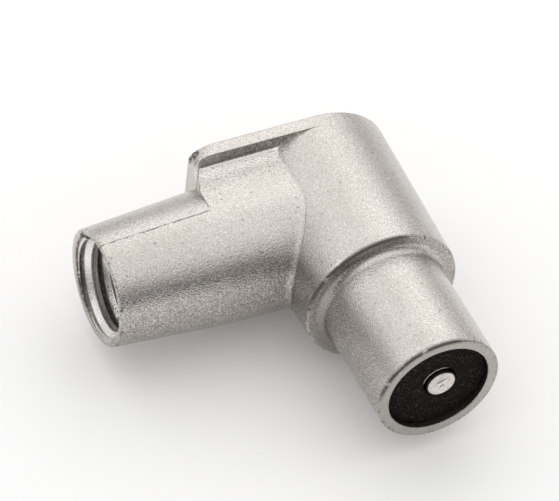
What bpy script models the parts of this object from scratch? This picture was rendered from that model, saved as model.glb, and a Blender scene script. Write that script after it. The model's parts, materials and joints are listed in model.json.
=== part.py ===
"""Right-angle coaxial antenna plug, lying on its side.

The nose points along -Y, the cable arm along -X, and +Z is up. Sizes are worked out from the point
where the two axes cross. An empty then carries the pieces, so that the world origin is the centre of
the underside.
"""
import bpy
import bmesh
import math
from mathutils import Vector

MM = 0.001

# Nose and barrel, measured along the nose axis from the cable axis
NOSE_RADIUS = 4.75 * MM
NOSE_REACH = 17.5 * MM
NOSE_WALL = 0.81 * MM
NOSE_RIM_ROUND = 0.12 * MM
NOSE_BASE_FILLET = 0.25 * MM
SHOULDER_REACH = 7.9 * MM
SHOULDER_RADIUS = 5.98 * MM
SHOULDER_ROUND = 0.16 * MM
BARREL_BACK_RADIUS = 6.36 * MM
BACK_DEPTH = 5.05 * MM
BACK_EDGE_ROUND = 0.12 * MM

# Cable arm, measured along the cable axis from the nose axis
ARM_REACH = 19.17 * MM
ARM_MOUTH_RADIUS = 4.45 * MM
ARM_MOUTH_ROUND = 0.1 * MM
ARM_ROOT_RADIUS = 5.04 * MM
CABLE_BORE_RADIUS = 3.45 * MM
CABLE_BORE_CHAMFER = 0.42 * MM

# Block behind the arm, and the flange that frames the open back
BLOCK_REACH = 10.5 * MM
BLOCK_WALL_RISE = 0.12 * MM
FLANGE_THICKNESS = 1.1 * MM
FLANGE_REACH = 10.1 * MM
FLANGE_CORNER = 1.2 * MM
WEB_RADIUS = 1.45 * MM
WEB_DEPTH = 0.66 * MM
END_STEP = 1.25 * MM
ARM_FILLET = 0.4 * MM
FILLET_SINK = 0.03 * MM
FILLET_CORE = 1.2 * MM
FILLET_STATIONS = (0.3, 0.6, 0.9)

# Hollow inside, and the lid's seat
WALL = 1.1 * MM
BARREL_WALL = 1.4 * MM
SHOULDER_WALL = 1.0 * MM
FRONT_WEB = 2.3 * MM
COVER_THICKNESS = 0.65 * MM
COVER_RIM = 0.5 * MM
COVER_CORNER = 0.7 * MM
FIT_GAP = 0.05 * MM

# Web inside the nose's root that holds the insulator's neck
WEB_BACK_REACH = SHOULDER_REACH - SHOULDER_WALL
WEB_FRONT_REACH = WEB_BACK_REACH + FRONT_WEB

# Insulator, contact and clamp screw
PIN_RADIUS = 1.15 * MM
PIN_OFF_CENTRE = Vector((0.3 * MM, 0.0, 0.18 * MM))
PIN_RECESS = 0.22 * MM
PIN_END_CHAMFER = 0.1 * MM
INSULATOR_RECESS = 0.5 * MM
INSULATOR_NECK_RADIUS = 2.6 * MM
INSULATOR_NECK_STAND = 1.0 * MM
COUNTERBORE_WIDTH = 0.07 * MM
COUNTERBORE_DEPTH = 0.3 * MM
CONTACT_HEAD_RADIUS = 1.9 * MM
CONTACT_HEAD_BACK = 1.7 * MM
CONDUCTOR_HOLE_RADIUS = 0.75 * MM
SCREW_TIP_BACK = 0.38 * MM
SCREW_RADIUS = 0.9 * MM
SCREW_HEAD_RADIUS = 1.5 * MM
SCREW_HEAD_HEIGHT = 0.8 * MM
SCREW_SLOT_WIDTH = 0.4 * MM
SCREW_SLOT_DEPTH = 0.4 * MM

SEGMENTS = 64
SMALL_SEGMENTS = 32
ROUND_STEPS = 3
CORNER_STEPS = 6
WEB_STEPS = 4
FILLET_STEPS = 4
OVERSHOOT = 0.5 * MM
SHARP_ANGLE = math.radians(35)


def new_material(name, colour, roughness, metallic):
    material = bpy.data.materials.new(name)
    material.use_nodes = True
    shader = material.node_tree.nodes["Principled BSDF"]
    shader.inputs["Base Color"].default_value = (*colour, 1.0)
    shader.inputs["Roughness"].default_value = roughness
    shader.inputs["Metallic"].default_value = metallic
    return material


def new_object(name, mesh_builder, material=None):
    """Makes an object from a bmesh; with no material it is a cutter or a guide."""
    bmesh.ops.recalc_face_normals(mesh_builder, faces=mesh_builder.faces)
    mesh = bpy.data.meshes.new(name)
    mesh_builder.to_mesh(mesh)
    mesh_builder.free()
    mesh.shade_smooth()
    mesh.set_sharp_from_angle(angle=SHARP_ANGLE)
    item = bpy.data.objects.new(name, mesh)
    bpy.context.scene.collection.objects.link(item)
    if material:
        mesh.materials.append(material)
    else:
        item.hide_render = True
        item.display_type = 'WIRE'
    return item


def combine(target, other, operation):
    modifier = target.modifiers.new(other.name, 'BOOLEAN')
    modifier.object = other
    modifier.operation = operation
    modifier.solver = 'EXACT'


def arc(centre, radius, start, end, steps):
    """Points of a circular arc in a profile's plane, both ends included; angles in degrees."""
    points = []
    for step in range(steps + 1):
        angle = math.radians(start + (end - start) * step / steps)
        points.append((centre[0] + radius * math.cos(angle), centre[1] + radius * math.sin(angle)))
    return points


def ring_point(radius, segment, segments):
    """A point of a circle; tiny rounding remainders are dropped, so the quarter points are exact."""
    angle = 2 * math.pi * segment / segments
    return round(radius * math.cos(angle), 9), round(radius * math.sin(angle), 9)


def along_nose(reach, across, up):
    return Vector((across, -reach, up))


def along_arm(reach, across, up):
    return Vector((-reach, across, up))


def bridge(builder, first, second):
    """Joins two rings of equal length with quads."""
    count = len(first)
    for index in range(count):
        following = (index + 1) % count
        corners = (first[index], first[following], second[following], second[index])
        if len(set(corners)) == 4:
            builder.faces.new(corners)
        elif len(set(corners)) == 3:
            builder.faces.new(tuple(dict.fromkeys(corners)))


def circle_ring(builder, place, reach, radius, segments):
    ring = []
    for segment in range(segments):
        across, up = ring_point(radius, segment, segments)
        ring.append(builder.verts.new(place(reach, across, up)))
    return ring


def turned_solid(name, profile, place, segments, material=None):
    """Turns a profile of (reach, radius) points about an axis and closes both ends flat."""
    builder = bmesh.new()
    rings = [circle_ring(builder, place, reach, radius, segments) for reach, radius in profile]
    for first, second in zip(rings, rings[1:]):
        bridge(builder, first, second)
    builder.faces.new(rings[0])
    builder.faces.new(rings[-1])
    return new_object(name, builder, material)


def prism(name, outline, place, low, high, material=None):
    """Extrudes an outline of 2-D points between two heights; place maps a point and a height."""
    builder = bmesh.new()
    bottom = [builder.verts.new(place(point, low)) for point in outline]
    top = [builder.verts.new(place(point, high)) for point in outline]
    bridge(builder, bottom, top)
    builder.faces.new(bottom)
    builder.faces.new(top)
    return new_object(name, builder, material)


def barrel_radius(reach):
    """Outer radius of the drafted barrel at a reach along the nose axis."""
    share = (SHOULDER_REACH - reach) / (SHOULDER_REACH + BACK_DEPTH)
    return SHOULDER_RADIUS + (BARREL_BACK_RADIUS - SHOULDER_RADIUS) * share


def free_end_corner(radius, reach, corner):
    """Upper corner of a keyhole shape's free end, as (across, up), from the top round to the end."""
    return arc((-reach + corner, radius - corner), corner, 90, 180, CORNER_STEPS)


def web_front(across):
    """Depth of the flange's front face: flat, then curving forward near the free end."""
    flat_depth = BACK_DEPTH - FLANGE_THICKNESS
    start = -FLANGE_REACH + WEB_RADIUS
    if across >= start:
        return flat_depth
    run = min(start - across, WEB_RADIUS)
    drop = WEB_RADIUS - math.sqrt(WEB_RADIUS ** 2 - run ** 2)
    return flat_depth - min(drop, WEB_DEPTH)


def outer_profile():
    """Nose, shoulder and barrel as (reach, radius), from the rim to the flange's front."""
    rim = arc((NOSE_REACH - NOSE_RIM_ROUND, NOSE_RADIUS - NOSE_RIM_ROUND), NOSE_RIM_ROUND, 0, 90,
              ROUND_STEPS)
    base = arc((SHOULDER_REACH + NOSE_BASE_FILLET, NOSE_RADIUS + NOSE_BASE_FILLET), NOSE_BASE_FILLET,
               270, 180, ROUND_STEPS)
    shoulder = arc((SHOULDER_REACH - SHOULDER_ROUND, SHOULDER_RADIUS - SHOULDER_ROUND), SHOULDER_ROUND,
                   0, 90, ROUND_STEPS)
    flange_front = FLANGE_THICKNESS - BACK_DEPTH
    return rim + base + shoulder + [(flange_front, barrel_radius(flange_front))]


def curved_flange_edge(radius):
    """Upper edge of the flange's front face, from where it starts to curve to the free end."""
    corner = free_end_corner(radius, FLANGE_REACH, FLANGE_CORNER)
    curve_start = -FLANGE_REACH + WEB_RADIUS
    curve_length = corner[0][0] - curve_start
    run_in = [(curve_start + curve_length * step / WEB_STEPS, radius) for step in range(WEB_STEPS)]
    return run_in + corner


def flange_ring(builder, front_ring, depth, inset):
    """The flange's outline at a depth, grown to the barrel's back radius less an inset."""
    rise = (BARREL_BACK_RADIUS - inset) / barrel_radius(FLANGE_THICKNESS - BACK_DEPTH)
    run = (FLANGE_REACH - inset) / FLANGE_REACH
    ring = []
    for vertex in front_ring:
        across, _, up = vertex.co
        scale = rise if across >= 0 else run
        ring.append(builder.verts.new((across * scale, depth, up * rise)))
    return ring


def cast_body():
    """Nose, shoulder and barrel as turned rings, opening at the back into the keyhole flange."""
    builder = bmesh.new()
    profile = outer_profile()
    rings = [circle_ring(builder, along_nose, reach, radius, SEGMENTS) for reach, radius in profile]
    for first, second in zip(rings, rings[1:]):
        bridge(builder, first, second)
    builder.faces.new(rings[0])

    barrel_end = rings[-1]
    quarter = SEGMENTS // 4
    right_half = [barrel_end[(index - quarter) % SEGMENTS] for index in range(2 * quarter + 1)]
    left_half = [barrel_end[(quarter + index) % SEGMENTS] for index in range(2 * quarter + 1)]

    edge = curved_flange_edge(profile[-1][1])
    top = [builder.verts.new((across, web_front(across), up)) for across, up in edge]
    bottom = [builder.verts.new((across, web_front(across), -up)) for across, up in edge]
    builder.faces.new(left_half + [bottom[0], top[0]])
    for index in range(len(edge) - 1):
        builder.faces.new((top[index], top[index + 1], bottom[index + 1], bottom[index]))

    front_ring = right_half + top + list(reversed(bottom))
    middle_ring = flange_ring(builder, front_ring, BACK_DEPTH - BACK_EDGE_ROUND, 0.0)
    back_ring = flange_ring(builder, front_ring, BACK_DEPTH, BACK_EDGE_ROUND)
    bridge(builder, front_ring, middle_ring)
    bridge(builder, middle_ring, back_ring)
    builder.faces.new(back_ring)
    return builder


def block_end(depth):
    """Where the block ends along the arm, at a depth behind the cable axis."""
    web_start = BACK_DEPTH - FLANGE_THICKNESS - WEB_DEPTH
    if depth <= web_start - END_STEP:
        return BLOCK_REACH
    share = min((depth - web_start + END_STEP) / END_STEP, 1.0)
    return BLOCK_REACH + (FLANGE_REACH - BLOCK_REACH) * share


def u_outline(radius, depths, segments):
    """Half circle in front and straight sides behind, as (depth, up) from the top back round to the
    bottom back."""
    quarter = segments // 4
    points = [(depth, radius) for depth in reversed(depths)]
    for step in range(2 * quarter + 1):
        points.append(ring_point(radius, quarter + step, segments))
    points += [(depth, -radius) for depth in depths]
    return points


def block_solid():
    """Flat-sided block between arm and barrel, its end face stepping in where it meets the flange."""
    web_start = BACK_DEPTH - FLANGE_THICKNESS - WEB_DEPTH
    inside_flange = BACK_DEPTH - FLANGE_THICKNESS / 2
    inside_barrel = -BARREL_BACK_RADIUS / 2
    depths = [web_start - END_STEP, web_start, inside_flange]
    builder = bmesh.new()
    outer = []
    for depth, up in u_outline(ARM_ROOT_RADIUS, depths, SEGMENTS):
        outer.append(builder.verts.new((-block_end(depth), depth, up)))
    inner = []
    for depth, up in u_outline(ARM_ROOT_RADIUS + BLOCK_WALL_RISE, depths, SEGMENTS):
        inner.append(builder.verts.new((inside_barrel, depth, up)))
    bridge(builder, outer, inner)
    builder.faces.new(inner)
    last = len(outer) - 1
    for index in range(len(outer) // 2):
        corners = (outer[index], outer[index + 1], outer[last - index - 1], outer[last - index])
        builder.faces.new(tuple(dict.fromkeys(corners)))
    return new_object("block_guide", builder)


def arm_solid():
    """Cone of the cable arm, with a tapering root that ends inside the block."""
    mouth = arc((ARM_REACH - ARM_MOUTH_ROUND, ARM_MOUTH_RADIUS - ARM_MOUTH_ROUND), ARM_MOUTH_ROUND,
                0, 90, ROUND_STEPS)
    root_inside = (BLOCK_REACH - WALL, CABLE_BORE_RADIUS + WALL)
    return turned_solid("arm_guide", mouth + [(BLOCK_REACH, ARM_ROOT_RADIUS), root_inside], along_arm,
                        SEGMENTS)


def fillet_section(depth, up):
    """Rolling-ball section between the block's side and the barrel, from the side to the barrel.

    The ball touches both surfaces. The arc's ends are sunk a little, and the last point lies inside.
    """
    normal = Vector((0.0, min(depth, 0.0), up)).normalized()
    centre = Vector((0.0, depth, up)) + normal * ARM_FILLET
    reach = barrel_radius(-depth) + ARM_FILLET
    centre.x = -math.sqrt(reach ** 2 - centre.z ** 2)
    to_side = -normal
    to_barrel = Vector((-centre.x, 0.0, -centre.z)).normalized()
    turn = to_side.angle(to_barrel)
    points = []
    for step in range(FILLET_STEPS + 1):
        share = step / FILLET_STEPS
        direction = (to_side * math.sin((1 - share) * turn) + to_barrel * math.sin(share * turn))
        points.append(centre + direction / math.sin(turn) * ARM_FILLET)
    points[0] = points[0] + to_side * FILLET_SINK
    points[-1] = points[-1] + to_barrel * FILLET_SINK
    inside = centre + (to_side + to_barrel).normalized() * FILLET_CORE
    return points + [inside]


def fillet_strip():
    """Fillet that runs round the arm where it meets the barrel."""
    radius = ARM_ROOT_RADIUS + BLOCK_WALL_RISE
    depths = [BACK_DEPTH * share for share in FILLET_STATIONS]
    builder = bmesh.new()
    sections = []
    for depth, up in u_outline(radius, depths, SEGMENTS):
        sections.append([builder.verts.new(point) for point in fillet_section(depth, up)])
    for first, second in zip(sections, sections[1:]):
        bridge(builder, first, second)
    builder.faces.new(sections[0])
    builder.faces.new(sections[-1])
    return new_object("fillet_guide", builder)


def keyhole_prism(name, radius, reach, corner, low, high, material=None):
    """Prism with one half-round end and one free end with rounded corners."""
    quarter = SEGMENTS // 4
    round_end = [ring_point(radius, index - quarter, SEGMENTS) for index in range(2 * quarter + 1)]
    top_corner = free_end_corner(radius, reach, corner)
    bottom_corner = [(across, -up) for across, up in reversed(top_corner)]
    outline = round_end + top_corner + bottom_corner
    return prism(name, outline, lambda point, depth: Vector((point[0], depth, point[1])), low, high,
                 material)


def chamber_cutter():
    """Hollow of the block: half round in front, open to the back."""
    radius = ARM_ROOT_RADIUS - WALL
    seat = BACK_DEPTH - COVER_THICKNESS - FIT_GAP
    outline = u_outline(radius, [seat + OVERSHOOT], SEGMENTS)
    inner_end = -(BLOCK_REACH - WALL)
    return prism("chamber_cutter", outline, lambda point, across: Vector((across, point[0], point[1])),
                 inner_end, 0.0)


def make_housing(material):
    """The casting: body, block, arm and fillet joined, then bored and hollowed."""
    housing = new_object("housing", cast_body(), material)
    for guide in (block_solid(), arm_solid(), fillet_strip()):
        combine(housing, guide, 'UNION')

    bore_radius = NOSE_RADIUS - NOSE_WALL
    neck_radius = INSULATOR_NECK_RADIUS + FIT_GAP
    seat = BACK_DEPTH - COVER_THICKNESS - FIT_GAP
    hollow_end = -seat - OVERSHOOT
    cutters = [
        turned_solid("nose_cutter", [(NOSE_REACH + OVERSHOOT, bore_radius),
                                     (WEB_FRONT_REACH, bore_radius)], along_nose, SEGMENTS),
        turned_solid("web_cutter", [(WEB_FRONT_REACH + OVERSHOOT, neck_radius),
                                    (WEB_BACK_REACH - OVERSHOOT, neck_radius)], along_nose, SEGMENTS),
        turned_solid("barrel_cutter", [(WEB_BACK_REACH, barrel_radius(WEB_BACK_REACH) - BARREL_WALL),
                                       (hollow_end, barrel_radius(hollow_end) - BARREL_WALL)],
                     along_nose, SEGMENTS),
        chamber_cutter(),
        turned_solid("cable_cutter", [(ARM_REACH + OVERSHOOT, CABLE_BORE_RADIUS + CABLE_BORE_CHAMFER
                                       + OVERSHOOT),
                                      (ARM_REACH - CABLE_BORE_CHAMFER, CABLE_BORE_RADIUS),
                                      (BLOCK_REACH - WALL - OVERSHOOT, CABLE_BORE_RADIUS)],
                     along_arm, SEGMENTS),
        keyhole_prism("seat_cutter", BARREL_BACK_RADIUS - COVER_RIM, FLANGE_REACH - COVER_RIM,
                      COVER_CORNER, seat, BACK_DEPTH + OVERSHOOT),
    ]
    for cutter in cutters:
        combine(housing, cutter, 'DIFFERENCE')
    return housing


def make_insulator(material):
    """Black moulding: a wide front in the nose, and a neck through the housing's web."""
    outer = NOSE_RADIUS - NOSE_WALL - FIT_GAP
    front = NOSE_REACH - INSULATOR_RECESS
    step = WEB_FRONT_REACH + FIT_GAP
    neck_end = WEB_BACK_REACH - INSULATOR_NECK_STAND
    insulator = turned_solid("insulator", [(front, outer), (step, outer), (step, INSULATOR_NECK_RADIUS),
                                           (neck_end, INSULATOR_NECK_RADIUS)], along_nose, SEGMENTS,
                             material)
    hole = PIN_RADIUS + FIT_GAP
    mouth = hole + COUNTERBORE_WIDTH
    cutter = turned_solid("pin_hole_cutter", [(front + OVERSHOOT, mouth), (front - COUNTERBORE_DEPTH,
                                                                           mouth),
                                              (front - COUNTERBORE_DEPTH, hole),
                                              (neck_end - OVERSHOOT, hole)], along_nose, SMALL_SEGMENTS)
    cutter.location = PIN_OFF_CENTRE
    combine(insulator, cutter, 'DIFFERENCE')
    return insulator


def make_contact(material):
    """Pin with a head behind the insulator, bored for the inner conductor and the clamp screw."""
    tip = NOSE_REACH - PIN_RECESS
    head_front = WEB_BACK_REACH - INSULATOR_NECK_STAND - FIT_GAP
    profile = [(tip, PIN_RADIUS - PIN_END_CHAMFER), (tip - PIN_END_CHAMFER, PIN_RADIUS),
               (head_front, PIN_RADIUS), (head_front, CONTACT_HEAD_RADIUS),
               (-CONTACT_HEAD_BACK, CONTACT_HEAD_RADIUS)]
    contact = turned_solid("centre_contact", profile, along_nose, SMALL_SEGMENTS, material)
    contact.location = PIN_OFF_CENTRE
    through = CONTACT_HEAD_RADIUS + OVERSHOOT
    conductor = turned_solid("conductor_cutter", [(through, CONDUCTOR_HOLE_RADIUS),
                                                  (-through, CONDUCTOR_HOLE_RADIUS)],
                             along_arm, SMALL_SEGMENTS // 2)
    tapped = turned_solid("tapped_hole_cutter", [(0.0, SCREW_RADIUS + FIT_GAP),
                                                 (-CONTACT_HEAD_BACK - OVERSHOOT,
                                                  SCREW_RADIUS + FIT_GAP)],
                          along_nose, SMALL_SEGMENTS)
    tapped.location = PIN_OFF_CENTRE
    for cutter in (conductor, tapped):
        combine(contact, cutter, 'DIFFERENCE')
    return contact


def make_clamp_screw(material):
    head_seat = -CONTACT_HEAD_BACK - FIT_GAP
    head_top = head_seat - SCREW_HEAD_HEIGHT
    profile = [(-SCREW_TIP_BACK, SCREW_RADIUS), (head_seat, SCREW_RADIUS),
               (head_seat, SCREW_HEAD_RADIUS), (head_top, SCREW_HEAD_RADIUS)]
    screw = turned_solid("clamp_screw", profile, along_nose, SMALL_SEGMENTS, material)
    half_slot = SCREW_SLOT_WIDTH / 2
    reach = SCREW_HEAD_RADIUS + OVERSHOOT
    outline = [(-reach, -half_slot), (reach, -half_slot), (reach, half_slot), (-reach, half_slot)]
    slot = prism("slot_cutter", outline, lambda point, depth: Vector((point[0], depth, point[1])),
                 -head_top - SCREW_SLOT_DEPTH, -head_top + OVERSHOOT)
    screw.location = PIN_OFF_CENTRE
    slot.location = PIN_OFF_CENTRE
    combine(screw, slot, 'DIFFERENCE')
    return screw


def make_back_cover(material):
    """Flat lid, pressed into its seat until it is flush with the flange."""
    radius = BARREL_BACK_RADIUS - COVER_RIM - FIT_GAP
    return keyhole_prism("back_cover", radius, FLANGE_REACH - COVER_RIM - FIT_GAP, COVER_CORNER,
                         BACK_DEPTH - COVER_THICKNESS, BACK_DEPTH, material)


def main():
    for item in list(bpy.data.objects):
        bpy.data.objects.remove(item, do_unlink=True)

    satin_nickel = new_material("satin_nickel", (0.74, 0.71, 0.68), 0.36, 1.0)
    black_plastic = new_material("black_plastic", (0.02, 0.02, 0.021), 0.42, 0.0)
    bright_nickel = new_material("bright_nickel", (0.78, 0.75, 0.71), 0.25, 1.0)
    zinc_steel = new_material("zinc_steel", (0.62, 0.62, 0.63), 0.3, 1.0)
    nickel_sheet = new_material("nickel_sheet", (0.72, 0.7, 0.67), 0.3, 1.0)

    carrier = bpy.data.objects.new("plug", None)
    bpy.context.scene.collection.objects.link(carrier)
    carrier.location = ((ARM_REACH - BARREL_BACK_RADIUS) / 2, (NOSE_REACH - BACK_DEPTH) / 2,
                        BARREL_BACK_RADIUS)

    make_housing(satin_nickel)
    make_insulator(black_plastic)
    make_contact(bright_nickel)
    make_clamp_screw(zinc_steel)
    make_back_cover(nickel_sheet)
    for item in bpy.data.objects:
        if item != carrier:
            item.parent = carrier


main()
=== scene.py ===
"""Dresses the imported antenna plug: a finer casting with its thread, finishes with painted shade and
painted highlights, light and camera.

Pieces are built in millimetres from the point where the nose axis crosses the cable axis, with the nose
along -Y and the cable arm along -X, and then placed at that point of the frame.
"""

import bmesh
import bpy
import json
import math
from mathutils import Matrix, Vector, noise

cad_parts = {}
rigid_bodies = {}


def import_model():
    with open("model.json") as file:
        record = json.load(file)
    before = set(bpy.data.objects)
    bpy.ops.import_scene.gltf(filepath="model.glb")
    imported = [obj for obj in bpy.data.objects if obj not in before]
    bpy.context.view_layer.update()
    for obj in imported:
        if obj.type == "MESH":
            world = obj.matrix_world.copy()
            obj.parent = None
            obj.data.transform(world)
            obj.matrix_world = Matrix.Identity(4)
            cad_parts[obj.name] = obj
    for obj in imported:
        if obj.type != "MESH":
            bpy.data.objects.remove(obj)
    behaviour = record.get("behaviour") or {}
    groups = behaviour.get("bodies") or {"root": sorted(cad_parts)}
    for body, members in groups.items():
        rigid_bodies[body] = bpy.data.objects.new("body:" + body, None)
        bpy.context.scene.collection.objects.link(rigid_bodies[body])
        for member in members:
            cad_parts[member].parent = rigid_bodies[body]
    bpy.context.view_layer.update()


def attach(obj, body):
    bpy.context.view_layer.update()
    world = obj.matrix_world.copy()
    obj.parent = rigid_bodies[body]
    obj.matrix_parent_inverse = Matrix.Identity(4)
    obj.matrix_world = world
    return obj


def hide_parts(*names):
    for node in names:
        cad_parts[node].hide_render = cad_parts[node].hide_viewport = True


MM = 0.001
AXES_CROSS = Vector((6.405, 6.225, 6.36))

# Casting, in millimetres, with the names that the solids use
NOSE_RADIUS, NOSE_REACH, NOSE_WALL = 4.75, 17.5, 0.81
SHOULDER_RADIUS, SHOULDER_REACH = 5.98, 7.9
BARREL_BACK_RADIUS, BACK_DEPTH = 6.36, 5.05
ARM_REACH, ARM_MOUTH_RADIUS, ARM_ROOT_RADIUS = 19.17, 4.45, 5.04
BLOCK_REACH, BLOCK_WALL_RISE, BLOCK_INNER_REACH = 10.5, 0.12, 3.18
FLANGE_THICKNESS, FLANGE_REACH, FLANGE_CORNER = 1.1, 10.1, 1.2
WEB_RADIUS, WEB_DEPTH, END_STEP = 0.66, 0.66, 1.25
WALL, BARREL_WALL, SHOULDER_WALL, FRONT_WEB = 1.1, 1.4, 1.0, 2.3
COVER_THICKNESS, COVER_RIM, COVER_CORNER, FIT_GAP = 0.65, 0.5, 0.7, 0.05
FLANGE_FRONT = BACK_DEPTH - FLANGE_THICKNESS
COVER_SEAT = BACK_DEPTH - COVER_THICKNESS - FIT_GAP
WEB_BACK_REACH = SHOULDER_REACH - SHOULDER_WALL
WEB_FRONT_REACH = WEB_BACK_REACH + FRONT_WEB

# Rounded edges and fillets of the casting
RIM_ROUND, BASE_FILLET, SHOULDER_ROUND, BACK_ROUND, ARM_MOUTH_ROUND = 0.12, 0.6, 0.16, 0.12, 0.1
FLANGE_FRONT_ROUND, BLOCK_END_ROUND, BLOCK_FOOT_FILLET, ARM_FILLET = 0.06, 0.07, 0.2, 0.42
FILLET_SINK, FILLET_CORE = 0.008, 1.2
END_CORNER, FRONT_CORNER, FRONT_END_CORNER, TOP_CURVE = 0.9, 0.45, 0.35, 3.2
FOOT_CURVE, FOOT_CURVE_RUN, FOOT_SPAN = 4.0, 1.1, 1.3
NOSE_BORE_LEAD = 0.05

# Small shifts that keep the faces of two joined solids out of one plane
BARREL_SHIFT, FLANGE_SHIFT, BLOCK_SHIFT = 0.002, 0.004, 0.0015

# Parting seam of the arm; its half width is a cosine, its angles are offsets in radians
SEAM_HEIGHT, DIE_MISMATCH, SEAM_HALF_WIDTH, SEAM_FADE_LENGTH = 0.05, 0.015, 0.012, 5.0
SEAM_ANGLES = (-0.014, -0.007, 0.007, 0.014)
TOP_SEAM_SEED, BOTTOM_SEAM_SEED = 11.0, 47.0

# Thread in the cable arm
BORE_RADIUS, THREAD_ROOT_RADIUS, THREAD_PITCH = 3.42, 4.02, 1.4
THREAD_START_REACH, THREAD_END_REACH = 20.05, 12.4
MOUTH_CHAMFER_RADIUS, MOUTH_CHAMFER = 4.05, 0.4
MOUTH_LIP_RISE, MOUTH_LIP_RUN = 0.2, 0.15
CUTTER_SINK, RUNOUT_SINK, ROOT_ROUND = 0.15, 0.12, 0.04

# Insulator, contact and clamp screw
PIN_RADIUS, PIN_OFF_CENTRE, PIN_RECESS = 1.15, (0.3, 0.18), 0.22
INSULATOR_RECESS, NECK_RADIUS, NECK_STAND = 0.5, 2.6, 1.0
COUNTERBORE_WIDTH, COUNTERBORE_DEPTH = 0.07, 0.3
INSULATOR_ROUND, HOLE_ROUND, PIN_CHAMFER = 0.06, 0.05, 0.1
DIMPLE_DEPTH, DIMPLE_ROOT, DIMPLE_RADIUS = 0.06, 0.03, 0.13
HEAD_RADIUS, HEAD_BACK, CONDUCTOR_HOLE_RADIUS = 1.9, 1.7, 0.75
SCREW_RADIUS, SCREW_HEAD_RADIUS, SCREW_HEAD_HEIGHT = 0.9, 1.5, 0.8
SCREW_SLOT_WIDTH, SCREW_SLOT_DEPTH, SCREW_HEAD_ROUND = 0.4, 0.4, 0.2
SCREW_TIP, SCREW_TIP_END, SCREW_TIP_CHAMFER = 0.38, 0.5, 0.15
COVER_ROUND = 0.09

# Fineness of the meshes: sides of turned pieces, steps of arcs, longest strips in millimetres
SEGMENTS, PIN_SEGMENTS, SCREW_SEGMENTS, HOLE_SEGMENTS, THREAD_STEPS = 224, 96, 64, 48, 80
EDGE_STEPS, SMALL_EDGE_STEPS, TINY_EDGE_STEPS, FILLET_STEPS, CORNER_STEPS = 5, 4, 3, 6, 8
STRIP, ARM_STRIP, BLOCK_FRONT_STRIP, SIDE_STRIP = 0.6, 0.22, 0.8, 0.3
INSULATOR_STRIP, CONTACT_STRIP = 1.0, 1.5
OVERSHOOT = 0.5

# Marks on the casting: places, and lines with their widths
CHIPS_PLACE, CHIPS_RADIUS = (-ARM_REACH + 0.15, 2.85, 2.5), 0.8
CORNER_PLACE, NOTCH_PLACE = (-9.85, BACK_DEPTH - 0.1, 5.75), (-9.9, FLANGE_FRONT, 6.1)
WEB_FOOT = FLANGE_FRONT - WEB_DEPTH
BLOCK_END_LINES = (((-10.05, WEB_FOOT, 6.1), (-10.05, WEB_FOOT, 5.0), 0.1),
                   ((-10.05, WEB_FOOT, 5.1), (-10.5, 2.0, 5.04), 0.1),
                   ((-10.5, 2.0, 5.04), (-10.5, 0.4, 5.04), 0.09))
# Line of a painted highlight along the flange's foot
FLANGE_FOOT_HIGHLIGHT_LINE = ((-9.8, 3.4, 5.1), (-3.6, 3.4, 5.2), 0.9)

# Colours of the casting
NICKEL_DEEP, NICKEL_PALE = (0.575, 0.538, 0.503, 1), (0.615, 0.58, 0.545, 1)
NICKEL_MOTTLE, PAINTED_UNDERSIDE_SHADE = (0.5, 0.47, 0.44, 1), (0.25, 0.23, 0.215, 1)
GRAIN_DARK, GRAIN_LIGHT = (0.36, 0.33, 0.305, 1), (0.9, 0.86, 0.825, 1)
PAINTED_HIGHLIGHT, PAINTED_GREY_SHADE, PIT = (0.98, 0.95, 0.92, 1), (0.3, 0.28, 0.26, 1), (0.2, 0.175, 0.16, 1)
WEAR_AND_SHADE_DARK, CHIPPED = (0.06, 0.053, 0.048, 1), (0.012, 0.011, 0.01, 1)

# Light: levels of the dome; each rise goes from one height to another, and from one level to another
DIM_LEVEL, FRONT_DIM_LEVEL, FLOOR_GLOW = 0.2, 0.12, 0.1
TOP_RISE, BACK_RISE, BACK_TURN = (0.15, 0.9, 0.0, 1.0), (0.1, 0.55, 0.3, 1.02), -10
RIGHT_RISE, RIGHT_LEVEL = (0.05, 0.4), 0.9
WINDOW, WINDOW_LEVEL = (0.42, 0.6, 0.6), 0.4
DAYLIGHT = (1.0, 0.998, 0.992, 1)


def arc(centre, radius, start, end, steps):
    """Points of a circular arc, both ends included; angles in degrees."""
    points = []
    for step in range(steps + 1):
        angle = math.radians(start + (end - start) * step / steps)
        points.append((centre[0] + radius * math.cos(angle), centre[1] + radius * math.sin(angle)))
    return points


def dense(points, spacing):
    """The same line with points added, so that none are further apart than spacing."""
    result = [points[0]]
    for first, second in zip(points, points[1:]):
        count = max(1, math.ceil(math.dist(first, second) / spacing))
        for step in range(1, count + 1):
            share = step / count
            result.append(tuple(a + (b - a) * share for a, b in zip(first, second)))
    return result


def circle_angles(segments):
    return [2 * math.pi * index / segments for index in range(segments)]


def along_nose(reach, across, up):
    return Vector((across, -reach, up))


def along_arm(reach, across, up):
    return Vector((-reach, across, up))


def bridge(builder, first, second):
    """Joins two closed rings of equal length with quads."""
    for index in range(len(first)):
        following = (index + 1) % len(first)
        builder.faces.new((first[index], first[following], second[following], second[index]))


def loft(rings):
    """Closed mesh through rings of points, with both ends filled."""
    builder = bmesh.new()
    built = [[builder.verts.new(point) for point in ring] for ring in rings]
    for first, second in zip(built, built[1:]):
        bridge(builder, first, second)
    builder.faces.new(built[0])
    builder.faces.new(built[-1])
    return builder


def to_object(name, builder):
    bmesh.ops.recalc_face_normals(builder, faces=builder.faces)
    mesh = bpy.data.meshes.new(name)
    builder.to_mesh(mesh)
    builder.free()
    item = bpy.data.objects.new(name, mesh)
    bpy.context.scene.collection.objects.link(item)
    return item


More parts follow.
